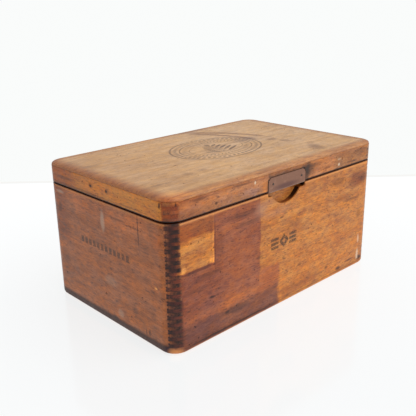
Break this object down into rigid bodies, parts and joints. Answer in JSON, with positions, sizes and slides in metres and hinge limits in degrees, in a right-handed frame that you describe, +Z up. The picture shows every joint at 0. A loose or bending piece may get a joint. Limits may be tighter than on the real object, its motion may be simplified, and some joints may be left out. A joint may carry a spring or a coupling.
{
  "type": "lidded wooden box",
  "caption": "Small lidded wooden box with finger-jointed, rounded corners, a lid hinged at the back, a steel lift plate and a finger scoop at the front.",
  "frame": {"origin": "on the underside of the box, at the middle of its plan", "axes": "+X along the length towards the right end as seen from the front; -Y towards the front with the lift plate; +Z up"},
  "size_m": [0.3174, 0.2062, 0.1535],
  "materials": {
    "wall_wood": "old varnish, orange-brown, stained and worn",
    "top_wood": "worn and faded, light brown",
    "bottom_wood": "worn, dark end grain",
    "plain_wood": "bare, aged",
    "plate_steel": "browned with age, rubbed smooth",
    "hinge_steel": "browned with age",
    "screw_steel": "dull",
    "nail_steel": "dark, rusted"
  },
  "bodies": {
    "box": {"body_front": "wall_wood", "body_back": "wall_wood", "body_left_end": "wall_wood", "body_right_end": "wall_wood", "bottom_board": "bottom_wood", "bottom_nails": "nail_steel", "left_hinge_body_leaf": "hinge_steel", "left_hinge_pin": "hinge_steel", "left_hinge_body_screws": "screw_steel", "right_hinge_body_leaf": "hinge_steel", "right_hinge_pin": "hinge_steel", "right_hinge_body_screws": "screw_steel"},
    "lid": {"lid_front": "wall_wood", "lid_back": "wall_wood", "lid_left_end": "wall_wood", "lid_right_end": "wall_wood", "lid_top": "top_wood", "lid_batten": "plain_wood", "batten_nails": "nail_steel", "lift_plate": "plate_steel", "lift_plate_pins": "nail_steel", "left_hinge_lid_leaf": "hinge_steel", "left_hinge_lid_screws": "screw_steel", "right_hinge_lid_leaf": "hinge_steel", "right_hinge_lid_screws": "screw_steel"}
  },
  "joints": [
    {"name": "lid_hinge", "type": "hinge", "parent": "box", "child": "lid", "pos_m": [0, 0.10165, 0.13119], "axis": [-1, 0, 0], "range_deg": [0, 180]}
  ]
}
